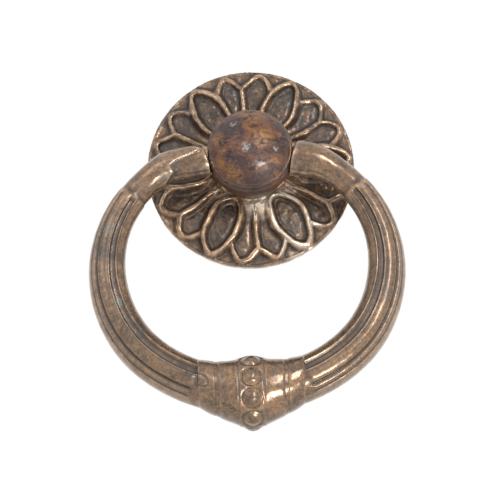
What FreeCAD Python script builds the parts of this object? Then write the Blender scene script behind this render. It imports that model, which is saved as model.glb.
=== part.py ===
import FreeCAD, Part
import math
import os
import re
import Sketcher
from FreeCAD import Placement, Rotation, Vector

# Ring pull handle: a cast rosette, a ball post with a stud, and a reeded ring on two pegs.
# Millimetres. +Z is up, the front faces -Y, and the back of the rosette lies in the plane y = 0.

doc = FreeCAD.newDocument("ring_pull")
sizes = doc.addObject("Spreadsheet::Sheet", "sizes")

DRIVING = [
    # rosette: plate
    ("rosette_diameter", 42.0),
    ("rim_edge", 1.5),
    ("rim_border", 0.9),
    ("rim_height", 2.0),
    ("ridge_height", 2.9),
    ("hub_height", 3.0),
    ("hub_radius", 7.4),
    ("back_recess", 0.7),
    ("back_rim", 2.5),
    # rosette: carving
    ("sectors", 6),
    ("pattern_turn", 3.1),
    ("petal_inner", 6.8),
    ("petal_inset", 0.4),
    ("petal_width", 7.2),
    ("petal_height", 3.7),
    ("petal_tip_height", 2.4),
    ("petal_wall", 1.05),
    ("petal_end_wall", 1.25),
    ("petal_hollow", 1.2),
    ("scoop_facets", 5),
    ("ridge_width", 0.75),
    ("fork_inset", 4.0),
    ("rear_tip_inset", 1.9),
    ("rear_angle", 10.0),
    ("rear_flank_inset", 5.5),
    ("rear_flank_margin", 9.0),
    ("rear_arch", 6.5),
    ("rear_floor", 1.9),
    ("fork_wall", 1.0),
    ("fork_ground_angle", 7.2),
    ("corner_near_angle", 12.5),
    ("corner_foot_angle", 20.5),
    ("corner_inset", 3.8),
    ("corner_margin", 2.5),
    ("field_floor", 1.5),
    # ball post
    ("ball_diameter", 17.5),
    ("ball_standoff", 10.8),
    ("arris_advance", 2.4),
    ("dome_height", 4.8),
    ("shank_diameter", 4.8),
    ("shank_clearance", 0.1),
    ("stud_diameter", 4.0),
    ("stud_length", 25.0),
    ("stud_chamfer", 0.5),
    ("peg_diameter", 3.5),
    ("peg_clearance", 0.06),
    # ring: line of its axis, measured from the pivot
    ("ring_half_width", 27.5),
    ("ring_half_height", 25.45),
    ("oval_rise", 1.9),
    ("arm_drop", 1.25),
    ("arm_join_angle", 50.5),
    ("seam_angle", 40.0),
    ("section_step", 9.0),
    # ring: pegs, collars and arms
    ("near_gap", 0.95),
    ("far_gap", 4.05),
    ("peg_engagement", 3.0),
    ("collar_length", 3.9),
    ("collar_diameter", 7.2),
    ("collar_drop", 2.7),
    ("collar_chamfer", 0.45),
    ("arm_diameter", 5.4),
    ("arm_seam_diameter", 5.8),
    # ring: reeded tube
    ("tube_seam_diameter", 6.1),
    ("tube_side_diameter", 7.4),
    ("tube_lower_diameter", 8.7),
    ("tube_end_diameter", 9.2),
    ("wide_groove_angle", 18.0),
    ("wide_groove_spread", 8.0),
    ("wide_groove_depth", 0.45),
    ("fine_groove_angle", 33.0),
    ("fine_groove_pitch", 12.0),
    ("fine_groove_spread", 3.2),
    ("fine_groove_depth", 0.16),
    # ring: bands and beads at the bottom
    ("inner_band_start", 2.5),
    ("inner_band_length", 4.1),
    ("inner_band_thick", 12.5),
    ("inner_band_thin", 10.5),
    ("band_gap", 0.5),
    ("band_gap_depth", 0.3),
    ("outer_band_length", 3.3),
    ("outer_band_thick", 10.2),
    ("outer_band_thin", 9.5),
    ("bead_seat_diameter", 11.0),
    ("bead_circle_diameter", 11.3),
    ("bead_diameter", 4.0),
    ("bead_count", 7),
    ("bead_turn", 27.0),
    ("bead_drop", 0.5),
]
# The outer ends of the carving keep their distances from the rosette's edge
DERIVED = [
    ("petal_outer", "=rosette_diameter / 2 - petal_inset"),
    ("fork_radius", "=rosette_diameter / 2 - fork_inset"),
    ("rear_tip", "=rosette_diameter / 2 - rear_tip_inset"),
    ("rear_flank", "=rosette_diameter / 2 - rear_flank_inset"),
    ("corner_foot", "=rosette_diameter / 2 - corner_inset"),
]
for row, (alias, value) in enumerate(DRIVING + DERIVED, start=1):
    sizes.set("A%d" % row, alias)
    sizes.set("B%d" % row, str(value))
    sizes.setAlias("B%d" % row, alias)
doc.recompute()
ALIASES = {alias for alias, value in DRIVING + DERIVED}
size = {alias: float(sizes.get(alias)) for alias in ALIASES}


def bound(expression):
    """The expression with every size read from the sheet."""
    words = re.split(r"([a-z_]+)", expression)
    return "".join("sizes." + word if word in ALIASES else word for word in words)


def worked(expression):
    return float(sizes.evalExpression(expression))


def polar(radius, angle):
    """A corner given by its distance from the centre and its angle from straight up, towards +X."""
    return "(%s) * sin(%s)" % (radius, angle), "(%s) * cos(%s)" % (radius, angle)


def new_body(label):
    body = doc.addObject("PartDesign::Body", label)
    body.Label = label
    return body


def new_sketch(body, name, plane):
    sketch = body.newObject("Sketcher::SketchObject", name)
    support = [feature for feature in body.Origin.OriginFeatures if feature.Role == plane]
    sketch.AttachmentSupport = [(support[0], "")]
    sketch.MapMode = "FlatFace"
    return sketch


def draw_outline(sketch, corners, arcs=None):
    """A closed outline through the corners; arcs gives an edge's radius, minus where it bends left."""
    arcs = arcs or {}
    points = [Vector(worked(x), worked(y), 0) for x, y in corners]
    count = len(points)
    ends = []
    for index in range(count):
        start, end = points[index], points[(index + 1) % count]
        if index not in arcs:
            ends.append((sketch.addGeometry(Part.LineSegment(start, end)), 1, 2))
            continue
        radius = worked(arcs[index])
        chord = end - start
        side = Vector(-chord.y, chord.x, 0).normalize()
        away = math.sqrt(max(radius ** 2 - (chord.Length / 2) ** 2, 0.0))
        turn = 1 if radius > 0 else -1
        centre = (start + end) / 2 - side * away * turn
        angles = [math.atan2(point.y - centre.y, point.x - centre.x) for point in (start, end)]
        if turn > 0:
            angles.reverse()
        circle = Part.Circle(centre, Vector(0, 0, 1), abs(radius))
        edge = sketch.addGeometry(Part.ArcOfCircle(circle, angles[0], angles[1]))
        ends.append((edge, 2, 1) if turn > 0 else (edge, 1, 2))
    for index, (edge, first, last) in enumerate(ends):
        following, its_first = ends[(index + 1) % count][:2]
        sketch.addConstraint(Sketcher.Constraint("Coincident", edge, last, following, its_first))
        across, up = corners[index]
        for axis, kind, expression in ((-2, "DistanceX", across), (-1, "DistanceY", up)):
            if expression == "0":
                sketch.addConstraint(Sketcher.Constraint("PointOnObject", edge, first, axis))
                continue
            placed = sketch.addConstraint(Sketcher.Constraint(kind, -1, 1, edge, first, worked(expression)))
            sketch.setExpression("Constraints[%d]" % placed, bound(expression))
        if index in arcs:
            radius = "abs(%s)" % arcs[index]
            placed = sketch.addConstraint(Sketcher.Constraint("Radius", edge, worked(radius)))
            sketch.setExpression("Constraints[%d]" % placed, bound(radius))


def revolve(body, sketch, axis):
    turned = body.newObject("PartDesign::Revolution", body.Label + "_turned")
    turned.Profile = sketch
    turned.ReferenceAxis = (sketch, [axis])
    turned.Angle = 360
    return turned


def pad(body, sketch, length):
    raised = body.newObject("PartDesign::Pad", body.Label + "_pad")
    raised.Profile = sketch
    raised.setExpression("Length", bound(length))
    return raised


def round_the_centre(body, feature, sketch):
    """The feature repeated in every sector of the rosette."""
    pattern = body.newObject("PartDesign::PolarPattern", body.Label + "_pattern")
    pattern.Originals = [feature]
    pattern.Axis = (sketch, ["N_Axis"])
    pattern.Angle = 360
    pattern.setExpression("Occurrences", bound("sectors"))
    body.Tip = pattern


def mirrored(corners):
    return [("-(%s)" % x, y) for x, y in reversed(corners)]


# Rosette

def rosette_blank():
    """The plate turned to the height of its ridges, with a dished back and the hole for the shank."""
    body = new_body("rosette_blank")
    sketch = new_sketch(body, "rosette_blank_profile", "XY_Plane")
    hole = "shank_diameter / 2 + shank_clearance"
    edge = "rosette_diameter / 2"
    draw_outline(sketch, [
        (hole, "-back_recess"),
        (edge + " - back_rim - back_recess", "-back_recess"),
        (edge + " - back_rim", "0"),
        (edge, "0"),
        (edge, "-rim_edge"),
        (edge + " - (rim_height - rim_edge)", "-rim_height"),
        (edge + " - rim_border", "-rim_height"),
        ("fork_radius", "-ridge_height"),
        ("hub_radius", "-hub_height"),
        (hole, "-hub_height"),
    ])
    revolve(body, sketch, "V_Axis")
    return body


def petal_blank():
    """The higher surface that the tops of the front petals lie in."""
    body = new_body("petal_blank")
    sketch = new_sketch(body, "petal_blank_profile", "XY_Plane")
    bottom = "-(back_recess + field_floor) / 2"
    draw_outline(sketch, [
        ("petal_inner - petal_wall", bottom),
        ("rosette_diameter / 2", bottom),
        ("rosette_diameter / 2", "-petal_tip_height"),
        ("fork_radius", "-petal_height"),
        ("hub_radius", "-petal_height"),
        ("petal_inner - petal_wall", "-hub_height"),
    ])
    revolve(body, sketch, "V_Axis")
    return body


def sector_tool(label, outlines, length):
    """Closed outlines in one sector, raised to a length and repeated round the rosette."""
    body = new_body(label)
    sketch = new_sketch(body, label + "_outline", "XZ_Plane")
    for corners, arcs in outlines:
        draw_outline(sketch, corners, arcs)
    round_the_centre(body, pad(body, sketch, length), sketch)
    return body


def front_petals():
    half = "180 / sectors"
    side = "(((petal_outer - petal_inner) / 2) ^ 2 + (petal_width / 2) ^ 2) / petal_width"
    outline = [polar("petal_inner", half), polar("petal_outer", half)]
    return sector_tool("front_petals", [(outline, {0: side, 1: side})], "petal_height + hub_height")


def rear_hollows():
    """Two hollows a sector, either side of a straight ridge, each ending in a pointed arch."""
    flank = "180 / sectors - rear_flank_margin"
    right = [
        ("ridge_width / 2", "hub_radius"),
        ("ridge_width / 2", "fork_radius"),
        polar("rear_tip", "rear_angle"),
        polar("rear_flank", flank),
        polar("hub_radius", flank),
    ]
    left = mirrored(right)
    return sector_tool("rear_hollows", [
        (right, {1: "rear_arch", 2: "rear_arch * 2"}),
        (left, {1: "rear_arch * 2", 2: "rear_arch"}),
    ], "petal_height + hub_height")


def rim_fields():
    """The sunk grounds between the petals' tips and the rim."""
    rim = "rosette_diameter / 2 - rim_border"
    ground = [
        ("0", "fork_radius + fork_wall"),
        polar(rim, "-fork_ground_angle"),
        polar(rim, "fork_ground_angle"),
    ]
    corner = [
        polar(rim, "corner_near_angle"),
        polar(rim, "180 / sectors - corner_margin"),
        polar("corner_foot", "corner_foot_angle"),
    ]
    return sector_tool("rim_fields", [
        (ground, {1: rim}),
        (corner, {0: rim}),
        (mirrored(corner), {1: rim}),
    ], "petal_height + hub_height")


def lifted(body, floor):
    """A cutting tool raised so that it leaves a floor of the given height."""
    body.setExpression("Placement.Base.y", bound("-(%s)" % floor))
    return body


def petal_scoop(index):
    """The hollow of a front petal, left by a slim spindle sunk a little way into its top."""
    body = new_body("petal_scoop_%d" % (index + 1))
    sketch = new_sketch(body, body.Label + "_profile", "XY_Plane")
    half_width = "(petal_width / 2 - petal_wall)"
    half_length = "((petal_outer - petal_inner) / 2 - petal_end_wall)"
    belly = "((%s ^ 2 + petal_hollow ^ 2) / (2 * petal_hollow))" % half_width
    side = "((%s ^ 2 + petal_hollow ^ 2) / (2 * petal_hollow))" % half_length
    waist = "(%s - %s)" % (side, belly)
    last = int(size["scoop_facets"])
    corners = []
    for step in range(last + 1):
        angle = "(acos(%s / %s) * (2 * %d / %d - 1))" % (waist, side, step, last)
        height = "%s * cos(%s) - %s" % (side, angle, waist)
        corners.append(("%s * sin(%s)" % (side, angle), height if 0 < step < last else "0"))
    draw_outline(sketch, corners)
    revolve(body, sketch, "H_Axis")
    turn = Rotation(Vector(0, 1, 0), (index + 0.5) * 360 / size["sectors"])
    lift = size["petal_height"] + worked(belly) - size["petal_hollow"]
    middle = (size["petal_inner"] + size["petal_outer"]) / 2
    upright = Rotation(Vector(0, 1, 0), -90)
    body.Placement = Placement(turn.multVec(Vector(0, -lift, middle)), turn * upright)
    return body


def combined(kind, name, shapes):
    result = doc.addObject(kind, name)
    if kind == "Part::Cut":
        result.Base, result.Tool = shapes
    else:
        result.Shapes = shapes
    return result


def make_rosette():
    cuts = combined("Part::MultiFuse", "rear_cuts", [
        lifted(rear_hollows(), "rear_floor"),
        lifted(rim_fields(), "field_floor"),
    ])
    ground = combined("Part::Cut", "rosette_ground", (rosette_blank(), cuts))
    petals = combined("Part::MultiCommon", "petal_bodies", [front_petals(), petal_blank()])
    carved = combined("Part::MultiFuse", "rosette_carved", [ground, petals])
    scoops = [petal_scoop(index) for index in range(int(size["sectors"]))]
    hollows = combined("Part::MultiFuse", "petal_hollows", scoops)
    rosette = combined("Part::Cut", "rosette", (carved, hollows))
    rosette.Label = "rosette"
    rosette.Placement = Placement(Vector(), Rotation(Vector(0, -1, 0), size["pattern_turn"]))
    return rosette


# Ball post

def make_ball_post():
    """Ball, shank and stud turned in one piece, with the cross hole that the pegs turn in."""
    body = new_body("ball_post")
    sketch = new_sketch(body, "ball_post_profile", "XY_Plane")
    ball = "ball_diameter / 2"
    seat = "sqrt((%s) ^ 2 - (ball_standoff - hub_height) ^ 2)" % ball
    arris = "sqrt((%s) ^ 2 - arris_advance ^ 2)" % ball
    dome = "((%s) ^ 2 + dome_height ^ 2) / (2 * dome_height)" % arris
    draw_outline(sketch, [
        ("0", "stud_length"),
        ("0", "-(ball_standoff + arris_advance + dome_height)"),
        (arris, "-(ball_standoff + arris_advance)"),
        (ball, "-ball_standoff"),
        (seat, "-hub_height"),
        ("shank_diameter / 2", "-hub_height"),
        ("shank_diameter / 2", "0"),
        ("stud_diameter / 2", "0"),
        ("stud_diameter / 2", "stud_length - stud_chamfer"),
        ("stud_diameter / 2 - stud_chamfer", "stud_length"),
    ], {1: "-(%s)" % dome, 2: "-(%s)" % ball, 3: "-(%s)" % ball})
    turned = revolve(body, sketch, "V_Axis")
    hole = new_sketch(body, "peg_hole_circle", "YZ_Plane")
    centre = Vector(-size["ball_standoff"], 0, 0)
    circle = hole.addGeometry(Part.Circle(centre, Vector(0, 0, 1), size["peg_diameter"]))
    hole.addConstraint(Sketcher.Constraint("PointOnObject", circle, 3, -1))
    placed = hole.addConstraint(Sketcher.Constraint("DistanceX", -1, 1, circle, 3, centre.x))
    hole.setExpression("Constraints[%d]" % placed, bound("-ball_standoff"))
    placed = hole.addConstraint(Sketcher.Constraint("Radius", circle, size["peg_diameter"]))
    hole.setExpression("Constraints[%d]" % placed, bound("peg_diameter / 2 + peg_clearance"))
    doc.recompute()
    drilled = body.newObject("PartDesign::Pocket", "peg_hole")
    drilled.Profile = hole
    drilled.Type = "ThroughAll"
    drilled.SideType = "Symmetric"
    doc.recompute()
    if not drilled.Shape.Volume < turned.Shape.Volume:
        raise RuntimeError("the peg hole cuts nothing")
    return body


# Ring

def ring_line():
    """Centres and radii of the tangent arcs of the ring's axis, right half, in its own XZ plane."""
    wide, high = size["ring_half_width"], size["ring_half_height"]
    span = math.hypot(wide, high)
    middle = size["oval_rise"] - high
    side_radius = span * (span - (wide - high)) / (2 * wide)
    foot_radius = span * (span + (wide - high)) / (2 * high)
    side_centre = Vector(wide - side_radius, 0, middle)
    foot_centre = Vector(0, 0, middle - high + foot_radius)
    leave = radial(size["arm_join_angle"])
    join = side_centre + leave * side_radius
    arm_radius = (-size["arm_drop"] - join.z) / (1 - leave.z)
    arm_centre = join - leave * arm_radius
    return {
        "side": (side_centre, side_radius),
        "foot": (foot_centre, foot_radius),
        "arm": (arm_centre, arm_radius),
    }


def radial(angle):
    """The direction at an angle above the X axis in the ring's plane."""
    return Vector(math.cos(math.radians(angle)), 0, math.sin(math.radians(angle)))


def on_arc(arc, angle):
    centre, radius = arc
    return centre + radial(angle) * radius


def ring_point(arc, angle, distance, turn):
    """A point at a distance from the axis, turned from the front towards the inside of the ring."""
    inward = radial(angle) * -math.sin(math.radians(turn))
    front = Vector(0, -math.cos(math.radians(turn)), 0)
    return on_arc(arc, angle) + (inward + front) * distance


def plain_section(arc, angle, diameter):
    return Part.Wire([Part.Circle(on_arc(arc, angle), radial(angle + 90), diameter / 2).toShape()])


def reed_grooves():
    """Grooves round the tube as middle, half spread and depth; the back repeats the front."""
    wide = (size["wide_groove_angle"], size["wide_groove_spread"], size["wide_groove_depth"])
    fine = size["fine_groove_spread"], size["fine_groove_depth"]
    first = (-size["fine_groove_angle"],) + fine
    second = (-size["fine_groove_angle"] - size["fine_groove_pitch"],) + fine
    front = [second, first, wide]
    back = [(180 - turn, spread, depth) for turn, spread, depth in reversed(front)]
    return front + back


def reeded_section(arc, angle, diameter):
    """A round section with its grooves cut in, and each reed left as an arc between two grooves."""
    radius = diameter / 2
    grooves = reed_grooves()
    edges = []
    for index, (turn, spread, depth) in enumerate(grooves):
        following, its_spread = grooves[(index + 1) % len(grooves)][:2]
        half = (following - its_spread - turn - spread) % 360 / 2
        near, end = turn + spread, turn + spread + 2 * half
        floor = ring_point(arc, angle, radius - depth, turn)
        places = (turn - spread, near, near + half, end)
        edge, start, crest, last = [ring_point(arc, angle, radius, place) for place in places]
        edges += [Part.makeLine(edge, floor), Part.makeLine(floor, start)]
        edges.append(Part.Arc(start, crest, last).toShape())
    return Part.Wire(edges)


def foot_angle(along):
    """The angle on the foot arc at a distance along the axis from the bottom of the ring."""
    return -90 + math.degrees(along / ring_line()["foot"][1])


def swept(name, shape):
    feature = doc.addObject("Part::Feature", name)
    feature.Shape = shape
    return feature


def collar_start():
    return size["ball_diameter"] / 2 + (size["near_gap"] + size["far_gap"]) / 2


def along(arc, first, last, first_diameter, last_diameter):
    """Places at even steps along an arc, with the diameter changing evenly from end to end."""
    count = max(1, round(abs(last - first) / size["section_step"]))
    places = []
    for step in range(count + 1):
        share = step / count
        diameter = first_diameter + (last_diameter - first_diameter) * share
        places.append((arc, first + (last - first) * share, diameter))
    return places


def make_arm():
    """The plain arm, from inside its collar to the seam."""
    line = ring_line()
    centre, radius = line["arm"]
    inner = collar_start() + size["collar_length"] / 4
    start = math.degrees(math.acos((inner - centre.x) / radius))
    join, seam = size["arm_join_angle"], size["seam_angle"]
    thin, thick = size["arm_diameter"], size["arm_seam_diameter"]
    places = along(line["arm"], start, join, thin, thick)
    places += along(line["side"], join, seam, thick, thick)[1:]
    return Part.makeLoft([plain_section(*place) for place in places], True, True)


def make_tube():
    """The reeded half of the ring, from the seam to the bottom, growing as it goes down."""
    line = ring_line()
    lower = -math.degrees(math.atan2(size["ring_half_width"], size["ring_half_height"]))
    seam, side = size["tube_seam_diameter"], size["tube_side_diameter"]
    low, end = size["tube_lower_diameter"], size["tube_end_diameter"]
    places = along(line["side"], size["seam_angle"], 0, seam, side)
    places += along(line["side"], 0, lower, side, low)[1:]
    places += along(line["foot"], lower, -90, low, end)[1:]
    return Part.makeLoft([reeded_section(*place) for place in places], True, True)


def make_band(name, start, length, thick, thin, side):
    """A tapered band, turned about the ring's axis where it lies."""
    body = new_body(name)
    sketch = new_sketch(body, name + "_profile", "XY_Plane")
    end = "(%s) / 2" % length
    draw_outline(sketch, [
        ("-" + end, "0"),
        ("-" + end, "(%s) / 2" % thick),
        (end, "(%s) / 2" % thin),
        (end, "0"),
    ])
    revolve(body, sketch, "H_Axis")
    foot = ring_line()["foot"]
    angle = foot_angle(worked("%s + %s / 2" % (start, length)))
    place = on_arc(foot, angle)
    turn = Rotation(Vector(0, -1, 0), angle + 90)
    if side < 0:
        place.x = -place.x
        turn = Rotation(Vector(0, 1, 0), angle + 90) * Rotation(Vector(0, 0, 1), 180)
    body.Placement = Placement(place, turn)
    return body


def make_collar(side):
    """The round boss at the end of an arm; its peg stands off centre, on the pivot."""
    body = new_body("collar_right" if side > 0 else "collar_left")
    sketch = new_sketch(body, body.Label + "_profile", "XY_Plane")
    radius = "collar_diameter / 2"
    draw_outline(sketch, [
        ("0", "0"),
        ("0", radius + " - collar_chamfer"),
        ("collar_chamfer", radius),
        ("collar_length - collar_chamfer", radius),
        ("collar_length", radius + " - collar_chamfer"),
        ("collar_length", "0"),
    ])
    revolve(body, sketch, "H_Axis")
    turn = Rotation() if side > 0 else Rotation(Vector(0, 0, 1), 180)
    body.Placement = Placement(Vector(side * collar_start(), 0, -size["collar_drop"]), turn)
    return body


def make_peg(side):
    peg = doc.addObject("Part::Cylinder", "peg_right" if side > 0 else "peg_left")
    peg.setExpression("Radius", bound("peg_diameter / 2"))
    peg.setExpression("Height", bound("far_gap + peg_engagement + collar_length / 2"))
    outer = collar_start() + size["collar_length"] / 2
    peg.Placement = Placement(Vector(side * outer, 0, 0), Rotation(Vector(0, -side, 0), 90))
    return peg


def make_bead(index, centre):
    bead = doc.addObject("Part::Sphere", "bead_%d" % (index + 1))
    bead.setExpression("Radius", bound("bead_diameter / 2"))
    turn = Rotation(Vector(1, 0, 0), size["bead_turn"] + index * 360 / size["bead_count"])
    away = turn.multVec(Vector(0, -size["bead_circle_diameter"] / 2, 0))
    bead.Placement = Placement(centre + away, Rotation())
    return bead


def make_beads():
    """A ring of beads round the bottom of the ring, on a plain seat between the bands."""
    centre = on_arc(ring_line()["foot"], -90) - Vector(0, 0, size["bead_drop"])
    seat = doc.addObject("Part::Cylinder", "bead_seat")
    seat.setExpression("Radius", bound("bead_seat_diameter / 2"))
    seat.setExpression("Height", bound("2 * (inner_band_start + band_gap)"))
    half = worked("inner_band_start + band_gap")
    seat.Placement = Placement(centre - Vector(half, 0, 0), Rotation(Vector(0, 1, 0), 90))
    return [seat] + [make_bead(index, centre) for index in range(int(size["bead_count"]))]


def make_ring():
    """One casting, made as a right and a left half about the beads, and slid towards the left."""
    arm, tube = make_arm(), make_tube()
    pieces = make_beads()
    outer_start = "inner_band_start + inner_band_length + band_gap"
    cove_start = "inner_band_start + inner_band_length - band_gap"
    cove = "(inner_band_thin + outer_band_thick) / 2 - 2 * band_gap_depth"
    for side, hand in ((1, "right"), (-1, "left")):
        for name, shape in (("arm", arm), ("reeded_tube", tube)):
            shown = shape if side > 0 else shape.mirror(Vector(), Vector(1, 0, 0))
            pieces.append(swept("%s_%s" % (name, hand), shown))
        pieces.append(make_collar(side))
        pieces.append(make_peg(side))
        pieces.append(make_band("inner_band_" + hand, "inner_band_start", "inner_band_length",
                                "inner_band_thick", "inner_band_thin", side))
        pieces.append(make_band("outer_band_" + hand, outer_start, "outer_band_length",
                                "outer_band_thick", "outer_band_thin", side))
        pieces.append(make_band("band_cove_" + hand, cove_start, "3 * band_gap", cove, cove, side))
    ring = combined("Part::MultiFuse", "ring", pieces)
    ring.Label = "ring"
    slide = (size["far_gap"] - size["near_gap"]) / 2
    ring.Placement = Placement(Vector(-slide, -size["ball_standoff"], 0), Rotation())
    return ring


# The pieces are checked, then written one file each

pieces = [make_rosette(), make_ball_post(), make_ring()]
doc.recompute()
for item in doc.Objects:
    if {"Invalid", "Error"} & set(item.State):
        raise RuntimeError("%s failed: %s" % (item.Label, item.State))
os.makedirs("parts", exist_ok=True)
for piece in pieces:
    if piece.Shape.isNull() or not piece.Shape.isValid() or len(piece.Shape.Solids) != 1:
        raise RuntimeError("%s isn't one sound solid" % piece.Label)
for piece in pieces:
    piece.Shape.exportStep("parts/%s.step" % piece.Label)
    print(piece.Label, round(piece.Shape.Volume, 1))
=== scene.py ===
import bmesh
import bpy
import math
import numpy as np
from functools import partial
from mathutils import Matrix, Vector, noise


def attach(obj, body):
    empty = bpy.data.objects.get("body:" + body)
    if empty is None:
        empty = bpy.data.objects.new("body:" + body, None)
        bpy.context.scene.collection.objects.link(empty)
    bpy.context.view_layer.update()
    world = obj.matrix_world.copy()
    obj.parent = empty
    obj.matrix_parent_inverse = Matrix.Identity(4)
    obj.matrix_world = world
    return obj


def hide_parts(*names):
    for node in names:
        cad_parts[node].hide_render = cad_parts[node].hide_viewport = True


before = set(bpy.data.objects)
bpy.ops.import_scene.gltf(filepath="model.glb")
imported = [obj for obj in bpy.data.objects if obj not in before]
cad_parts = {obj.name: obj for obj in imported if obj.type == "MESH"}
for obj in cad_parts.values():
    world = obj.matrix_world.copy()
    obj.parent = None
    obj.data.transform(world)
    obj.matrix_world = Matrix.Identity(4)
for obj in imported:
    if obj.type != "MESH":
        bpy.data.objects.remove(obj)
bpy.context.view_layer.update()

mm = 0.001
scene = bpy.context.scene
weldGap = 0.004
print("frame loaded:", sorted(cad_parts))


# small helpers for shapes and meshes, with sizes in millimetres

def ease(value, low, high):
    # 0 to 1 from low to high, slow at both ends
    share = np.clip((value - low) / (high - low), 0, 1)
    return share * share * (3 - 2 * share)


def hill(value, width):
    # 1 at 0, falling smoothly to either side
    return np.exp(-(value / width) ** 2)


def softMax(first, second, blend):
    # the higher of two surfaces, with a fillet where they meet
    return (first + second + np.sqrt((first - second) ** 2 + blend ** 2)) / 2


def newPiece(name, points, faces):
    mesh = bpy.data.meshes.new(name)
    mesh.from_pydata([tuple(point) for point in np.asarray(points) * mm], [], faces)
    piece = bpy.data.objects.new(name, mesh)
    scene.collection.objects.link(piece)
    return piece


def gridFaces(rows, columns, closed, first=0):
    faces = []
    for row in range(rows - 1):
        for column in range(columns if closed else columns - 1):
            after = (column + 1) % columns
            low, high = first + row * columns, first + (row + 1) * columns
            faces.append((low + column, low + after, high + after, high + column))
    return faces


def closeTube(grid, points, faces):
    # adds a swept tube with both ends filled
    first, columns = len(points), grid.shape[1]
    points += grid.reshape(-1, 3).tolist()
    faces += gridFaces(len(grid), columns, True, first)
    faces += [tuple(range(first, first + columns))[::-1], tuple(range(len(points) - columns, len(points)))]


def arcPoints(centre, radius, first, last, steps):
    angles = np.radians(np.linspace(first, last, steps))
    return [(radius * math.sin(angle), centre - radius * math.cos(angle)) for angle in angles]


def lathe(profile, segments):
    # profile of (radius, y) turned about the Y axis
    spin = np.linspace(0, 2 * math.pi, segments, endpoint=False)
    points = [(radius * math.sin(turn), y, radius * math.cos(turn)) for radius, y in profile for turn in spin]
    return points, gridFaces(len(profile), segments, True)


def spunX(profile, depth, segments=48):
    # profile of (x, radius) turned about the pivot
    points, faces = lathe([(radius, x) for x, radius in profile], segments)
    return [(y, depth + z, x) for x, y, z in points], faces


def closeMesh(piece, gap=weldGap):
    shell = bmesh.new()
    shell.from_mesh(piece.data)
    bmesh.ops.remove_doubles(shell, verts=shell.verts, dist=gap * mm)
    bmesh.ops.recalc_face_normals(shell, faces=shell.faces)
    shell.to_mesh(piece.data)
    shell.free()
    piece.data.shade_smooth()


def applyModifiers(piece):
    # keeps what the modifiers make as a plain mesh
    bpy.context.view_layer.update()
    shown = piece.evaluated_get(bpy.context.evaluated_depsgraph_get())
    made = bpy.data.meshes.new_from_object(shown)
    piece.modifiers.clear()
    piece.data = made


def readVectors(mesh, kind):
    # every point's place, "co", or its "normal"
    values = np.empty(len(mesh.vertices) * 3)
    mesh.vertices.foreach_get(kind, values)
    return values.reshape(-1, 3)


def movePoints(piece, points):
    piece.data.vertices.foreach_set("co", points.ravel())
    piece.data.update()


def roughen(piece, casts):
    # slow unevenness of a hand finished casting, inwards only, in passes of a depth, a scale and a seed
    for depth, scale, seed in casts:
        points, normals = readVectors(piece.data, "co"), readVectors(piece.data, "normal")
        offset = np.array((seed, seed * 0.37, -seed))
        lift = np.array([noise.noise(Vector(place)) for place in points / mm * scale + offset])
        points += normals * (np.clip(lift, -1, 1)[:, None] - 1) / 2 * depth * mm
        movePoints(piece, points)


def sunkBelow(piece, rounds, depth):
    # how far each point lies below its smoothed surroundings, as a share of the depth
    mesh = piece.data
    points, normals = readVectors(mesh, "co"), readVectors(mesh, "normal")
    edges = np.empty(len(mesh.edges) * 2, dtype=np.int64)
    mesh.edges.foreach_get("vertices", edges)
    one, other = edges.reshape(-1, 2).T
    count = len(points)
    degree = np.maximum(np.bincount(one, minlength=count) + np.bincount(other, minlength=count), 1)
    soft = points.copy()
    for turn in range(rounds):
        for axis in range(3):
            total = np.bincount(one, weights=soft[other, axis], minlength=count)
            total += np.bincount(other, weights=soft[one, axis], minlength=count)
            soft[:, axis] = (soft[:, axis] + total / degree) / 2
    sink = ((soft - points) * normals).sum(1) / (depth * mm)
    return sink - np.median(sink)


def writeMark(piece, label, values):
    mark = piece.data.attributes.new(label, "FLOAT", "POINT")
    mark.data.foreach_set("value", np.clip(values, 0, 1).astype(np.float32))


def markRelief(piece, sizes, settled=0.0, dirt=0.0):
    # for the finishes: dirt in fine hollows, wear on ridges, dirt settled in broad basins
    sink = sunkBelow(piece, *sizes["fineMark"])
    writeMark(piece, "hollow", np.clip(sink, 0, 1) + dirt)
    writeMark(piece, "wear", -sink)
    if "broadMark" in sizes:
        writeMark(piece, "basin", np.maximum(sunkBelow(piece, *sizes["broadMark"]), settled))


# node helpers

def addNode(tree, kind, **settings):
    node = tree.nodes.new(kind)
    for key, value in settings.items():
        setattr(node, key, value)
    return node


def feed(node, values):
    # links or sets a node's inputs, and gives its outputs
    for label, value in values.items():
        socket = node.inputs[label]
        if isinstance(value, bpy.types.NodeSocket):
            node.id_data.links.new(value, socket)
        else:
            socket.default_value = (*value, 1) if socket.type == "RGBA" else value
    return node.outputs


def treeOf(*values):
    return next(value.id_data for value in values if isinstance(value, bpy.types.NodeSocket))


def mathNode(operation, first, second, clamp=False):
    node = addNode(treeOf(first, second), "ShaderNodeMath", operation=operation, use_clamp=clamp)
    return feed(node, {0: first, 1: second})[0]


plus, times, larger = [partial(mathNode, operation) for operation in ("ADD", "MULTIPLY", "MAXIMUM")]


def weigh(start, *parts):
    # adds each value times its weight
    for value, weight in parts:
        start = plus(start, times(value, weight))
    return start


def mixColours(share, first, second, blend="MIX"):
    node = addNode(treeOf(share, first, second), "ShaderNodeMix", data_type="RGBA", blend_type=blend)
    return feed(node, {0: share, 6: first, 7: second})[2]


def noiseAt(place, scale, detail=4, rough=0.55, stretch=None, swirl=0.0):
    if stretch is not None:
        place = feed(addNode(place.id_data, "ShaderNodeMapping"), {"Vector": place, "Scale": stretch})[0]
    node = addNode(place.id_data, "ShaderNodeTexNoise")
    return feed(node, {"Vector": place, "Scale": scale, "Detail": detail, "Roughness": rough,
                       "Distortion": swirl})["Fac"]


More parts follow.
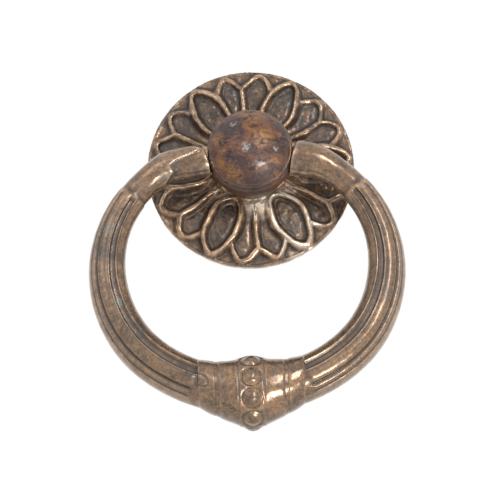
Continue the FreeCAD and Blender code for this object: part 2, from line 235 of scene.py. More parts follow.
def spread(value, low, high, first=0.0, last=1.0):
    # maps low to high onto first to last
    node = addNode(value.id_data, "ShaderNodeMapRange", clamp=True)
    return feed(node, dict(enumerate((value, low, high, first, last))))[0]


def spotMask(place, spots, core=0.25):
    # soft spots round the given places, each x, y, z and radius
    total = None
    for x, y, z, reach in spots:
        node = addNode(place.id_data, "ShaderNodeVectorMath", operation="DISTANCE")
        away = feed(node, {0: place, 1: (x * mm, y * mm, z * mm)})["Value"]
        mask = spread(away, reach * mm, reach * core * mm)
        total = mask if total is None else larger(total, mask)
    return total


def readMark(tree, label):
    return addNode(tree, "ShaderNodeAttribute", attribute_name=label).outputs["Fac"]


def placeIn(tree):
    return addNode(tree, "ShaderNodeTexCoord").outputs["Object"]


def newFinish(name):
    material = bpy.data.materials.new(name)
    material.use_nodes = True
    return material, material.node_tree, material.node_tree.nodes["Principled BSDF"]


def grain(height, look):
    node = addNode(height.id_data, "ShaderNodeBump")
    depth = look["grainDepth"] * mm
    return feed(node, {"Strength": look["grain"], "Distance": depth, "Height": height})["Normal"]


# shared finish: brown cast metal, dark in its hollows, rubbed pale on what stands up

aged = {
    # noises as scale, detail and roughness
    "broad": (110, 3), "mottle": (480, 6, 0.66), "fine": (1900, 4, 0.6), "grit": (5200, 2),
    "ragged": (800, 5, 0.7), "cloudy": (600, 4),
    # each range as noise from and to, then the shares that it gives
    "cool": (0.64, 0.65, 0.69), "coolAt": (0.38, 0.62),
    "warm": (1.40, 1.28, 1.10), "warmAt": (0.47, 0.66),
    "blotchAt": (0.49, 0.32, 0.0, 0.75), "speckAt": (0.47, 0.31, 0.0, 0.8),
    "glintAt": (0.53, 0.70, 0.0, 0.38), "basinAt": (0.34, 0.62, 1.15, 0.55),
    "hollowAt": (0.25, 0.6, 0.8, 1.2), "wearAt": (0.32, 0.58, 0.3, 1.1), "basinSunk": 0.6,
    "raggedAt": (0.40, 0.60), "paintedHighlightAt": (0.35, 0.6, 0.45, 1.0), "stainAndShadeShare": 0.9,
    "roughAt": (0.3, 0.7, 0.31, 0.15), "roughShift": (0.34, -0.04),
    "metalAt": (0.3, 0.7, 0.46, 0.62), "metalShift": (-0.40, 0.2),
    "heights": (0.65, 0.25, 0.05), "waxRoughness": 0.14,
}


def makePatinaGroup():
    tree, look = bpy.data.node_groups.new("handledPatina", "ShaderNodeTree"), aged
    for names, kind, flow in (
        (("Tone", "Deep", "Rubbed"), "NodeSocketColor", "INPUT"),
        (("Hollow", "Wear", "Basin", "Blotches"), "NodeSocketFloat", "INPUT"),
        (("Color",), "NodeSocketColor", "OUTPUT"),
        (("Roughness", "Metallic", "Height"), "NodeSocketFloat", "OUTPUT"),
    ):
        for name in names:
            tree.interface.new_socket(name, in_out=flow, socket_type=kind)
    given = addNode(tree, "NodeGroupInput").outputs
    result = addNode(tree, "NodeGroupOutput")
    place = placeIn(tree)
    broad, mottle, fine, grit = [noiseAt(place, *look[name]) for name in ("broad", "mottle", "fine", "grit")]
    tone, deep, pale = given["Tone"], given["Deep"], given["Rubbed"]
    cool, warm = [mixColours(1.0, tone, look[name], "MULTIPLY") for name in ("cool", "warm")]
    tone = mixColours(spread(broad, *look["coolAt"]), cool, tone)
    settled = times(given["Basin"], spread(mottle, *look["basinAt"]), True)
    sunk = times(given["Hollow"], spread(fine, *look["hollowAt"]), True)
    sunk = larger(sunk, times(settled, look["basinSunk"]))
    rubbed = times(given["Wear"], spread(mottle, *look["wearAt"]), True)
    for share, paint in (
        (spread(mottle, *look["warmAt"]), warm),
        (times(spread(mottle, *look["blotchAt"]), given["Blotches"]), deep),
        (spread(fine, *look["speckAt"]), deep), (spread(fine, *look["glintAt"]), pale),
        (settled, deep), (sunk, deep), (rubbed, pale),
    ):
        tone = mixColours(share, tone, paint)
    rough, metal = spread(mottle, *look["roughAt"]), spread(broad, *look["metalAt"])
    feed(result, {
        "Color": tone,
        "Roughness": weigh(rough, *zip((sunk, rubbed), look["roughShift"])),
        "Metallic": weigh(metal, *zip((sunk, rubbed), look["metalShift"])),
        "Height": weigh(0.0, *zip((mottle, fine, grit), look["heights"])),
    })
    return tree


patinaGroup = makePatinaGroup()


def castMetal(name, look):
    material, tree, shader = newFinish(name)
    place = placeIn(tree)
    patina = addNode(tree, "ShaderNodeGroup", node_tree=patinaGroup)
    made = feed(patina, {socket: look[socket] for socket in ("Tone", "Deep", "Rubbed", "Blotches")})
    hollow, wear, basin = [times(readMark(tree, label), look[label], True)
                           for label in ("hollow", "wear", "basin")]
    colour = made["Color"]
    if look["paintedHighlightSpots"]:
        # painted highlight: bright patches on the lower right of the rosette, where the light falls, kept out
        # of the hollows
        bare = mathNode("SUBTRACT", 1.0, plus(basin, hollow, True), True)
        paintedHighlight = times(spotMask(place, look["paintedHighlightSpots"]), bare)
        # the painted highlight also counts as wear, so it turns pale, smoother and more metallic
        wear = plus(wear, paintedHighlight, True)
        cloudy = spread(noiseAt(place, *aged["cloudy"]), *aged["paintedHighlightAt"])
        colour = mixColours(times(paintedHighlight, cloudy, True), colour, look["paintedHighlightColour"])
    feed(patina, {"Hollow": hollow, "Wear": wear, "Basin": basin})
    ragged = spread(noiseAt(place, *aged["ragged"]), *aged["raggedAt"])
    # stains, and painted shade where the spots stand for shade, each laid over its spots with ragged edges
    for stainAndShadeColour, spots in look["stainsAndShade"]:
        share = times(spotMask(place, spots), ragged, True)
        colour = mixColours(times(share, aged["stainAndShadeShare"]), colour, stainAndShadeColour)
    feed(shader, {
        "Base Color": colour, "Roughness": made["Roughness"], "Metallic": made["Metallic"],
        "Coat Weight": look["wax"], "Coat Roughness": aged["waxRoughness"],
        "Normal": grain(made["Height"], look),
    })
    return material


# repeats a shape round an axis, for the rosette's sectors and the beads

def makeRoundTree():
    tree = bpy.data.node_groups.new("spacedRound", "GeometryNodeTree")
    for name, kind in (("Geometry", "NodeSocketGeometry"), ("Count", "NodeSocketInt"),
                       ("Axis", "NodeSocketVector"), ("Centre", "NodeSocketVector"),
                       ("First Turn", "NodeSocketFloat"), ("Finish", "NodeSocketMaterial")):
        tree.interface.new_socket(name, in_out="INPUT", socket_type=kind)
    tree.interface.new_socket("Geometry", in_out="OUTPUT", socket_type="NodeSocketGeometry")
    given = addNode(tree, "NodeGroupInput").outputs
    spots = feed(addNode(tree, "GeometryNodePoints"), {"Count": given["Count"]})[0]
    index = addNode(tree, "GeometryNodeInputIndex").outputs[0]
    turn = plus(times(index, mathNode("DIVIDE", 2 * math.pi, given["Count"])), given["First Turn"])
    facing = feed(addNode(tree, "FunctionNodeAxisAngleToRotation"), {"Axis": given["Axis"], "Angle": turn})[0]
    shape = given["Geometry"]
    for kind, values in (
        ("InstanceOnPoints", {"Points": spots, "Rotation": facing}),
        ("Transform", {"Translation": given["Centre"]}),
        ("RealizeInstances", {}), ("MergeByDistance", {"Distance": weldGap * mm}),
        ("SetMaterial", {"Material": given["Finish"]}),
    ):
        entry = "Instance" if kind == "InstanceOnPoints" else "Geometry"
        shape = feed(addNode(tree, "GeometryNode" + kind), {entry: shape, **values})[0]
    feed(addNode(tree, "NodeGroupOutput"), {0: shape})
    return tree


roundTree = makeRoundTree()


def repeatRound(piece, count, axis, centre, firstTurn, material):
    modifier = piece.modifiers.new("spacedRound", "NODES")
    modifier.node_group = roundTree
    given = {"Count": count, "Axis": axis, "Centre": [number * mm for number in centre],
             "First Turn": math.radians(firstTurn), "Finish": material}
    for item in roundTree.interface.items_tree:
        if item.in_out == "INPUT" and item.name in given:
            modifier[item.identifier] = given[item.name]
    applyModifiers(piece)
    closeMesh(piece)


# rosette: one sector of carved relief, spaced round the post

rose = {
    "edge": 21.0, "hole": 2.5, "backRim": 18.5, "recess": 0.7, "sectors": 6, "patternTurn": -3.1,
    "rows": 118, "columns": 96, "hubRows": 14, "carvedFrom": 6.8,
    "rimEdge": 1.5, "rimHeight": 1.50, "rimInner": 20.4, "rimOuter": 20.6, "rimSpare": 0.25, "rimCurve": 1.5,
    "lipSlope": 1.5, "lipReach": 1.2, "lipBlend": 0.14,
    "hubRadius": 7.4, "hubHeight": 3.0, "hubFoot": 12.5, "hubSink": 0.05, "hubRunOut": (9.2, 7.0),
    "hubDrop": 5.0, "hubBlend": 0.3, "floor": 1.7, "field": 1.42, "fieldEdge": (-0.1, 0.3), "fieldFrom": 12.0,
    # sideways wander as swing, scale, inner radius and seed, then the casting's own unevenness
    "wander": ((0.55, 0.20, 7.6, 3), (0.07, 0.6, 8.0, 5)), "wanderEdge": 20.9, "wanderFade": (3.0, 1.6),
    "wanderFront": -1.0, "dirtFront": -0.8,
    "casts": ((0.10, 0.32, 3.1), (0.16, 0.85, 4.6), (0.08, 1.9, 9.2)),
    "fineMark": (24, 0.22), "broadMark": (240, 0.75),
}
petal = {
    "middle": 13.7, "half": 6.9, "halfWidth": 3.6, "height": 3.65, "tipHeight": 2.55,
    "rim": 0.62, "crown": 0.26, "depth": 1.15, "slope": 2.0, "blend": 0.12,
    "tip": (15.0, 20.8), "root": (10.5, 6.6), "rootFall": 0.5,
    "blunt": 0.55, "bluntRoot": 0.35, "bluntReach": 4.0,
    "bowlWidth": 0.62, "bowlPower": 1.3, "bowlSwell": 0.16, "bowlMiddle": (1.0, 2.6),
    "dirt": 0.9, "dirtFrom": 0.9, "dirtWidth": 0.6,
}
rear = {
    # a ridge that forks into lobes, given as radius and angle
    "start": 7.0, "half": 0.50, "crown": 0.20, "slope": 1.7, "height": 2.95,
    "fall": 0.5, "tip": (16.5, 19.6), "blend": 0.2, "lobeBlend": 0.16,
    "swell": 0.2, "middle": (0.5, 2.0), "root": ((6.5, 10.0), (0.0, 8.0)),
    "lobe": ((17.1, 0.0), (18.2, 3.2), (19.3, 6.8), (19.75, 10.4), (19.2, 14.0), (17.7, 17.6), (15.8, 20.6),
             (14.0, 22.6)),
    "dirt": 0.75, "dirtEdge": (0.6, 1.3), "dirtRoot": (10.0, 12.5),
}


def nearestOn(line, x, z):
    # distance from each point to a line of short runs
    best = np.full(x.shape, np.inf)
    for (ax, az), (bx, bz) in zip(line, line[1:]):
        dx, dz = bx - ax, bz - az
        along = np.clip(((x - ax) * dx + (z - az) * dz) / (dx ** 2 + dz ** 2), 0, 1)
        best = np.minimum(best, np.hypot(x - ax - along * dx, z - az - along * dz))
    return best


def rounded(places, steps=8):
    # a smooth line through the places
    ends = [places[0], *places, places[-1]]
    line = []
    for around in zip(ends, ends[1:], ends[2:], ends[3:]):
        for t in np.arange(steps) / steps:
            shares = (-t / 2 + t ** 2 - t ** 3 / 2, 1 - 2.5 * t ** 2 + 1.5 * t ** 3,
                      t / 2 + 2 * t ** 2 - 1.5 * t ** 3, (t ** 3 - t ** 2) / 2)
            line.append(tuple(np.dot(shares, around)))
    return line + [places[-1]]


def polarPlace(radius, angle):
    return radius * np.sin(np.radians(angle)), radius * np.cos(np.radians(angle))


def rearPetal(x, z):
    # how far the ridge and the lobe of a rear petal are, and what lies inside
    lobe = rounded([polarPlace(*spot) for spot in rear["lobe"]])
    toRidge = nearestOn([(0.0, rear["start"]), lobe[0]], x, z)
    toLobe = nearestOn(lobe, x, z)
    outline = np.array([*lobe, *rear["root"]])
    inside = np.zeros(x.shape, bool)
    for (ax, az), (bx, bz) in zip(outline, np.roll(outline, -1, axis=0)):
        crosses = (az > z) != (bz > z)
        inside ^= crosses & (x < (bx - ax) * (z - az) / ((bz - az) or 1e-9) + ax)
    return toRidge, toLobe, inside


def petalEdge(radius, folded):
    # distance along a front petal, and from the middle of its rim, less than 0 in its hollow:
    # a leaf, blunter at its inner end
    turn = np.radians(folded - 180 / rose["sectors"])
    along, across = radius * np.cos(turn), np.abs(radius * np.sin(turn))
    middle, long, wide = petal["middle"], petal["half"], petal["halfWidth"]
    bow = (long ** 2 + wide ** 2) / (2 * wide)
    leaf = np.hypot(along - middle, across + bow - wide) - bow
    u, v = (along - middle) / long, across / wide
    oval = (u ** 2 + v ** 2 - 1) / (2 * np.maximum(np.hypot(u / long, v / wide), 0.05))
    reach = petal["bluntReach"]
    blunt = petal["blunt"] + petal["bluntRoot"] * ease(along, middle + reach, middle - reach)
    return along, leaf * (1 - blunt) + oval * blunt + petal["rim"]


def rosetteRelief(radius, angle):
    # height of the front above the back plane;
    # the ridge of a rear petal lies at 0 and a front petal at half a sector
    folded = np.minimum(angle, 360 / rose["sectors"] - angle)
    hub = rose["hubHeight"]
    rise = ease(radius, rose["hubFoot"], rose["hubRadius"])
    ground = rose["floor"] + (hub - rose["hubSink"] - rose["floor"]) * rise
    toRidge, toLobe, inside = rearPetal(*polarPlace(radius, folded))
    outside = np.where(inside, -toLobe, toLobe)
    field = ease(outside, *rose["fieldEdge"]) * (radius > rose["fieldFrom"])
    ground = ground * (1 - field) + rose["field"] * field
    # each half of a rear petal swells a little along its middle
    swell = ease(np.minimum(toRidge, toLobe), *rear["middle"]) * (1 - field) * (1 - rise)
    relief = ground + rear["swell"] * swell
    top = rear["height"] - rear["fall"] * ease(radius, *rear["tip"])
    half = rear["half"]
    for away, blend in ((toRidge, rear["blend"]), (toLobe, rear["lobeBlend"])):
        crest = top - rear["crown"] * np.minimum(away / half, 1) ** 2
        relief = softMax(relief, crest - rear["slope"] * np.maximum(away - half, 0), blend)
    # a low lip round the edge
    inner, outer = rose["rimInner"], rose["rimOuter"]
    lip = rose["rimHeight"] - rose["lipSlope"] * np.maximum(inner - radius, 0)
    relief = np.where(radius > inner - rose["lipReach"], softMax(relief, lip, rose["lipBlend"]), relief)
    # front petal: a leaf with a broad rounded rim and a hollow
    rim, tall = petal["rim"], petal["height"]
    along, away = petalEdge(radius, folded)
    crown = tall - (tall - petal["tipHeight"]) * ease(along, *petal["tip"])
    crown = crown - petal["rootFall"] * ease(along, *petal["root"])
    top = crown - petal["crown"] * np.minimum(np.abs(away) / rim, 1) ** 2
    flank = top - petal["slope"] * np.maximum(away - rim, 0)
    sunk = np.maximum(-away - rim, 0)
    bowl = top - petal["depth"] * (1 - np.exp(-(sunk / petal["bowlWidth"]) ** petal["bowlPower"]))
    bowl = bowl + petal["bowlSwell"] * ease(sunk, *petal["bowlMiddle"])
    relief = np.where(away < 0, bowl, softMax(relief, flank, petal["blend"]))
    # the hub runs out into the rims of the petals
    runOut = hub - rose["hubDrop"] * (1 - ease(radius, *rose["hubRunOut"]))
    relief = softMax(relief, runOut, rose["hubBlend"])
    over = np.maximum(radius - outer, 0) / (rose["edge"] - outer)
    high = rose["rimHeight"] + rose["rimSpare"]
    edgeDrop = high - (high - rose["rimEdge"]) * over ** rose["rimCurve"]
    return np.where(radius > outer, np.minimum(relief, edgeDrop), relief)


def petalDirt(piece):
    # dirt that settles at the bottoms of the petals
    x, y, z = (readVectors(piece.data, "co") / mm).T
    step = 360 / rose["sectors"]
    angle = (np.degrees(np.arctan2(x, z)) - rose["patternTurn"]) % step
    folded, reach = np.minimum(angle, step - angle), np.hypot(x, z)
    rim = petal["rim"]
    away = petalEdge(reach, folded)[1]
    toRidge, toLobe, inside = rearPetal(*polarPlace(reach, folded))
    fan = ease(np.minimum(toRidge, toLobe), *rear["dirtEdge"]) * inside * (away > rim)
    fan = rear["dirt"] * fan * ease(reach, *rear["dirtRoot"])
    front = ease(-away, rim * petal["dirtFrom"], rim + petal["dirtWidth"])
    return np.maximum(petal["dirt"] * front, fan) * (y < rose["dirtFront"])


def wander(piece, swing, scale, inner, seed, shift=11.3):
    # moves the carving a little sideways, so that no two petals are alike, and leaves the hub and the edge
    noise.seed_set(seed)
    points = readVectors(piece.data, "co")
    reach = np.hypot(points[:, 0], points[:, 2]) / mm
    outer, (fadeIn, fadeOut) = rose["wanderEdge"], rose["wanderFade"]
    held = ease(reach, inner, inner + fadeIn) * ease(reach, outer, outer - fadeOut)
    held *= points[:, 1] < rose["wanderFront"] * mm
    spots = points / mm * scale + shift
    drift = np.array([noise.noise_vector(Vector(spot)) for spot in spots])
    movePoints(piece, points + drift * (1, 0, 1) * held[:, None] * swing * mm)


def makeRosette(material):
    rows, columns, hole = rose["rows"], rose["columns"] + 1, rose["hole"]
    angles = np.linspace(0, 360 / rose["sectors"], columns)
    hubRadii = np.linspace(hole, rose["carvedFrom"], rose["hubRows"])[:-1]
    radii = np.concatenate([hubRadii, np.linspace(rose["carvedFrom"], rose["edge"], rows)])
    radius, angle = np.meshgrid(radii, angles, indexing="ij")
    height = rosetteRelief(radius, angle)
    # radius and height of the rows of the edge, back rim, dished back and hole, which close the shape
    edge, rim, inner, recess = rose["edge"], rose["rimEdge"], rose["backRim"], rose["recess"]
    backRows = np.array([(edge - 0.04, rim - 0.12), (edge, rim - 0.25), (edge, 0.25), (edge - 0.2, 0.0),
                         (inner + 0.1, 0.0), (inner, 0.05), (inner - recess, recess), (10.0, recess),
                         (hole, recess)])
    backRadius, backHeight = (np.repeat(values[:, None], columns, axis=1) for values in backRows.T)
    radius = np.concatenate([radius, backRadius, radius[:1]])
    height = np.concatenate([height, backHeight, height[:1]])
    angle = np.concatenate([angle, np.repeat(angle[:1], len(backRows) + 1, axis=0)])
    x, z = polarPlace(radius, angle)
    points = np.stack([x, -height, z], -1).reshape(-1, 3)
    piece = newPiece("rosetteCasting", points, gridFaces(len(radius), columns, False))
    repeatRound(piece, rose["sectors"], (0, 1, 0), (0, 0, 0), rose["patternTurn"], material)
    settled = petalDirt(piece)
    for sizes in rose["wander"]:
        wander(piece, *sizes)
    roughen(piece, rose["casts"])
    markRelief(piece, rose, settled)
    return piece


# ball post: domed ball, shank and stud

ball = {
    "radius": 8.75, "standoff": 10.8, "arris": 2.4, "dome": 4.8, "hub": 3.0, "shank": 2.4, "stud": 2.0,
    "studLength": 25.0, "chamfer": 0.5, "pegHole": 1.81, "drillHalf": 12.0,
    "segments": 176, "domeSteps": 40, "ballSteps": 46, "weld": 0.03, "sharpFrom": 50.0,
    # a shallow groove and a rubbed bead either side of the dome's edge: sunk by, degrees from and to, points
    "domeArcs": ((0.20, -3.9, -3.1, 3), (0.03, -2.3, -0.6, 4)), "domeStop": -4.6,
    "ballArcs": ((0.04, 0.4, 2.6, 4), (0.16, 3.6, 4.6, 3)), "ballStart": 5.8,
    "casts": ((0.09, 0.45, 1.7), (0.06, 1.3, 7.3)), "fineMark": (12, 0.12),
}


def makeBall(material):
    arris = math.sqrt(ball["radius"] ** 2 - ball["arris"] ** 2)
    dome = (arris ** 2 + ball["dome"] ** 2) / (2 * ball["dome"])
    middle, hub = -ball["standoff"], ball["hub"]
    domeMiddle = middle - ball["arris"] - ball["dome"] + dome
    domeEdge = math.degrees(math.asin(arris / dome))
    ballEdge = math.degrees(math.acos(ball["arris"] / ball["radius"]))
    seat = 180 - math.degrees(math.acos((ball["standoff"] - hub) / ball["radius"]))
    profile = arcPoints(domeMiddle, dome, 0.05, domeEdge + ball["domeStop"], ball["domeSteps"])
    for sink, first, last, steps in ball["domeArcs"]:
        profile += arcPoints(domeMiddle, dome - sink, domeEdge + first, domeEdge + last, steps)
    for sink, first, last, steps in ball["ballArcs"]:
        profile += arcPoints(middle, ball["radius"] - sink, ballEdge + first, ballEdge + last, steps)
    profile += arcPoints(middle, ball["radius"], ballEdge + ball["ballStart"], seat, ball["ballSteps"])
    shank, stud, end, chamfer = ball["shank"], ball["stud"], ball["studLength"], ball["chamfer"]
    profile += [(shank + 0.05, -hub), (shank, 0.05 - hub), (shank, -0.05), (shank - 0.05, 0.0),
                (stud + 0.02, 0.0), (stud, 0.05), (stud, 8.0), (stud, 16.0),
                (stud, end - chamfer), (stud - chamfer, end), (0.02, end)]
    piece = newPiece("ballKnob", *lathe(profile, ball["segments"]))
    closeMesh(piece, ball["weld"])
    roughen(piece, ball["casts"])
    # cross hole for the pegs
    half, points, faces = ball["drillHalf"], [], []
    tube = spunX([(-half, ball["pegHole"]), (half, ball["pegHole"])], middle)[0]
    closeTube(np.reshape(tube, (2, -1, 3)), points, faces)
    drill = newPiece("pegDrill", points, faces)
    closeMesh(drill)
    cut = piece.modifiers.new("crossHole", "BOOLEAN")
    cut.operation, cut.object, cut.solver = "DIFFERENCE", drill, "EXACT"
    applyModifiers(piece)
    bpy.data.objects.remove(drill)
    piece.data.materials.clear()
    piece.data.materials.append(material)
    piece.data.shade_smooth()
    piece.data.set_sharp_from_angle(angle=math.radians(ball["sharpFrom"]))
    markRelief(piece, ball)
    return piece


# ring: one casting, swept along its own line: reeded tube, plain arms, pegs, banded foot and beads

ring = {
    "halfWidth": 27.5, "halfHeight": 25.45, "rise": 1.9, "armDrop": 1.25, "joinAngle": 50.5,
    "seamAngle": 40.0, "slide": -1.55, "depth": -10.8, "footStep": 0.16, "sideStep": 0.42, "armStep": 0.22,
    "overlap": 8.2, "fuller": 0.2, "fullerAt": 23.0, "fullerWidth": 9.0,
    # radius of the tube by length from the bottom, then at the seam
    "tube": ((9.0, 4.54), (21.7, 4.32), (31.0, 4.07), (41.6, 3.70), (49.0, 3.35)), "seamRadius": 3.06,
    "seamGroove": 0.15, "seamWidth": 0.26,
    # arms, by length left to their ends
    "armEnd": 11.25, "armRadius": 2.88, "armFlare": 3.6, "flareFrom": (9.5, 1.2), "armSink": -0.2,
    "sinkFrom": (7.0, 1.0), "armRound": 1.0, "roundShare": 0.4, "squareFrom": 3.0, "stretch": 4.5,
    "ballClear": 8.98, "faceRings": (0.8, 0.55, 0.32),
    "wornEdge": 2.7, "wornSlant": 2.6, "wornWave": 0.6, "wornLobes": 5, "wornTurn": 1.0, "wornStep": 0.46,
    "wornSoft": 0.32, "pegRadius": 1.75, "pegReach": 7.05, "pegChamfer": 0.1,
    "weld": 0.02, "casts": ((0.06, 0.22, 8.4), (0.05, 0.8, 2.9)),
    "fineMark": (20, 0.13), "broadMark": (160, 0.38), "dirt": 0.2, "dirtFrom": (-8.0, -13.0),
}
reeds = {
    # turns round the section in degrees, 0 in front and 90 on the inside of the ring
    "channel": 19.0, "channelHalf": 9.4, "channelDepth": 0.40, "widening": 0.25, "wideFrom": (46.0, 14.0),
    "wallIn": 4.0, "wallOut": 1.2, "lip": 0.15, "lipAway": 2.6, "lipWidth": 1.9, "broad": (-10.0, 20.0, 0.20),
    "lines": ((-34.0, 3.6, -0.26), (-56.0, 3.2, -0.16), (-44.0, 4.2, 0.10)),
    "drawnAt": 3.7, "footFade": (10.5, 11.8), "seamFade": (0.15, 1.2),
    "fineTurns": (-62.0, 38.0, 1.4), "innerTurns": (42.0, 140.0, 5.0), "outerTurns": (-114.0, -64.0, 5.0),
}


def ringLine():
    # middle line of the right half from the bottom up: place, outward direction and length from the bottom
    wide, high = ring["halfWidth"], ring["halfHeight"]
    span = math.hypot(wide, high)
    sideRadius = span * (span - wide + high) / (2 * wide)
    footRadius = span * (span + wide - high) / (2 * high)
    middle = ring["rise"] - high
    sideCentre, footCentre = (wide - sideRadius, middle), (0.0, middle - high + footRadius)
    lower = -math.degrees(math.atan2(wide, high))
    join = math.radians(ring["joinAngle"])
    joinZ = middle + sideRadius * math.sin(join)
    armRadius = (-ring["armDrop"] - joinZ) / (1 - math.sin(join))
    armX = sideCentre[0] + (sideRadius - armRadius) * math.cos(join)
    armCentre = (armX, joinZ - armRadius * math.sin(join))
    armTurn = math.degrees(math.acos((ring["armEnd"] - armX) / armRadius))
    runs = ((footCentre, footRadius, -90.0, lower, ring["footStep"]),
            (sideCentre, sideRadius, lower, ring["joinAngle"], ring["sideStep"]),
            (armCentre, armRadius, ring["joinAngle"], armTurn, ring["armStep"]))
    places, length, seamAt = [], 0.0, 0.0
    for (cx, cz), radius, first, last, step in runs:
        count = max(2, int(abs(math.radians(last - first)) * radius / step))
        for index in range(1 if places else 0, count + 1):
            angle = math.radians(first + (last - first) * index / count)
            along = length + math.radians(abs(first - math.degrees(angle))) * radius
            places.append((cx + radius * math.cos(angle), cz + radius * math.sin(angle),
                           math.cos(angle), math.sin(angle), along))
            if radius == sideRadius and math.degrees(angle) <= ring["seamAngle"]:
                seamAt = along
        length += abs(math.radians(last - first)) * radius
    return np.array(places), seamAt


def ringGrid(places, turns, radius, sink=0.0):
    # points round the line: the section's turn runs from the front towards the inside of the ring
    phi = np.radians(turns)[None, :]
    inward, forward = radius * np.sin(phi), radius * np.cos(phi)
    x = places[:, 0:1] - places[:, 2:3] * inward
    z = places[:, 1:2] - places[:, 3:4] * inward - sink
    return np.stack([x, ring["depth"] - forward, z], -1)


def bowRadius(along, left, seamAt):
    # a reeded tube that thins towards the seam, then a plain arm that flares at its end
    tube = np.interp(along, *zip(*ring["tube"], (seamAt, ring["seamRadius"])))
    arm = ring["armRadius"] + (ring["armFlare"] - ring["armRadius"]) * ease(left, *ring["flareFrom"])
    groove = ring["seamGroove"] * hill(along - seamAt, ring["seamWidth"])
    return np.where(along > seamAt, arm, tube) - groove


def reeding(turn, radius, along, seamAt):
    # change of the radius round the section: a channel with lips, a broad reed, two valleys and a thread
    near, far = reeds["seamFade"]
    fade = ease(along, *reeds["footFade"]) * ease(along, seamAt - near, seamAt - far)
    scale = radius / reeds["drawnAt"] * fade
    half = reeds["channelHalf"] * (1 + reeds["widening"] * ease(along, *reeds["wideFrom"]))
    middle, reach, swell = reeds["broad"]
    change = np.zeros(np.broadcast(turn, radius).shape)
    for face in (turn, np.where(turn > 0, 180 - turn, -180 - turn)):
        away = np.abs(face - reeds["channel"])
        wall = ease(away, half - reeds["wallIn"], half + reeds["wallOut"])
        change -= reeds["channelDepth"] * scale * (1 - wall)
        change += reeds["lip"] * scale * hill(away - half - reeds["lipAway"], reeds["lipWidth"])
        change += swell * scale * np.clip(1 - ((face - middle) / reach) ** 2, 0, 1)
        for line, width, lift in reeds["lines"]:
            change += lift * scale * hill(face - line, width)
    return change


def sectionTurns():
    # points round the section, closer together where the reeds are
    front = np.arange(*reeds["fineTurns"])
    rest = [np.arange(*reeds[name]) for name in ("innerTurns", "outerTurns")]
    return np.sort(np.concatenate([front, 180 - front[front > 0], -180 - front[front <= 0], *rest]))


def meetBall(grid, side):
    # where a point of an arm's end just clears the ball
    reach = np.hypot(grid[..., 1] - ring["depth"], grid[..., 2])
    return np.sqrt(np.maximum(ring["ballClear"] ** 2 - reach ** 2, 1.0)) - side * ring["slide"]


def castPiece(name, points, faces, casts, material):
    # a piece of the ring, slid along the pegs to where it hangs
    piece = newPiece(name, np.array(points) + (ring["slide"], 0, 0), faces)
    closeMesh(piece, ring["weld"])
    piece.data.materials.append(material)
    roughen(piece, casts)
    return piece


def makeBow(material):
    right, seamAt = ringLine()
    right = right[right[:, 4] >= ring["overlap"]]
    along = right[:, 4:5]
    left = along.max() - along
    # the lower sides hang a little fuller than the oval
    right[:, :2] += right[:, 2:4] * (ring["fuller"] * hill(along - ring["fullerAt"], ring["fullerWidth"]))
    turns = sectionTurns()
    phi = np.radians(turns)[None, :]
    pivot = (ring["depth"], 0)
    points, faces = [], []
    for side in (1, -1):
        radius = bowRadius(along, left, seamAt)
        if side < 0:
            # the left arm's skin ends in a slanting worn edge, and its core runs on
            worn = ring["wornEdge"] + ring["wornSlant"] * np.sin(phi)
            worn = worn + ring["wornWave"] * np.sin(ring["wornLobes"] * phi + ring["wornTurn"])
            radius = radius - ring["wornStep"] * ease(left, worn + ring["wornSoft"], worn - ring["wornSoft"])
        radius = radius + reeding(turns[None, :], radius, along, seamAt)
        corner = np.clip(1 - left / ring["armRound"], 0, 1)
        radius = radius - ring["armRound"] * (1 - np.sqrt(1 - corner ** 2)) * ring["roundShare"]
        grid = ringGrid(right, turns, radius, ring["armSink"] * ease(left, *ring["sinkFrom"]))
        # the end is squared, then runs on until it meets the ball
        squared = np.maximum(grid[..., 0], ring["armEnd"])
        grid[..., 0] = np.where(left < ring["squareFrom"], squared, grid[..., 0])
        grid[..., 0] += (meetBall(grid, side) - ring["armEnd"]) * ease(left, ring["stretch"], 0.0)
        rings = [grid]
        for share in ring["faceRings"]:
            rim = grid[-1:].copy()
            rim[..., 1:] = (rim[..., 1:] - pivot) * share + pivot
            rim[..., 0] = meetBall(rim, side)
            rings.append(rim)
        closeTube(np.concatenate(rings) * (side, 1, 1), points, faces)
        root, tip = ring["armEnd"], ring["armEnd"] - ring["pegReach"]
        thick, chamfer = ring["pegRadius"], ring["pegChamfer"]
        peg = ((tip, 0.02), (tip, thick - chamfer), (tip + chamfer, thick), (root - 3.0, thick),
               (root, thick), (root, 0.02))
        pegPoints, pegFaces = spunX([(side * x, size) for x, size in peg], ring["depth"])
        faces += [tuple(index + len(points) for index in face) for face in pegFaces]
        points += pegPoints
    piece = castPiece("ringBow", points, faces, ring["casts"], material)
    # the reeded tube holds more dirt than the plain arms
    level = readVectors(piece.data, "co")[:, 2] / mm
    markRelief(piece, ring, dirt=ring["dirt"] * ease(level, *ring["dirtFrom"]))
    return piece


foot = {
    "reach": 10.9, "sag": 0.40, "turnStep": 1.5,
    "core": ((0.0, 2.6, 6.6, 7.2, 10.4, 10.9), (6.0, 6.22, 5.44, 5.32, 4.5, 4.42)), "coreDrop": 0.3,
    # bands from and to, their radius at each end, and their crown
    "bands": ((2.62, 6.55, 6.18, 5.56, 0.10), (6.66, 7.02, 5.54, 5.48, 0.02),
              (7.12, 10.70, 5.44, 4.74, 0.08)),
    "bandRound": 0.4, "bandDrop": 0.3,
    "seat": 6.30, "seatHalf": 2.6, "seatSlope": 0.45, "seatDrop": 0.3, "peak": 1.05, "flare": 2.7,
    "casts": ((0.06, 0.35, 6.1), (0.06, 1.0, 3.3)), "fineMark": (20, 0.24), "broadMark": (160, 0.7),
}
tongue = {"turn": -4.0, "from": 9.9, "half": 1.15, "lift": 0.14, "radius": 5.0, "edge": (-0.15, 0.05),
          "groove": 0.16, "band": -8.2}
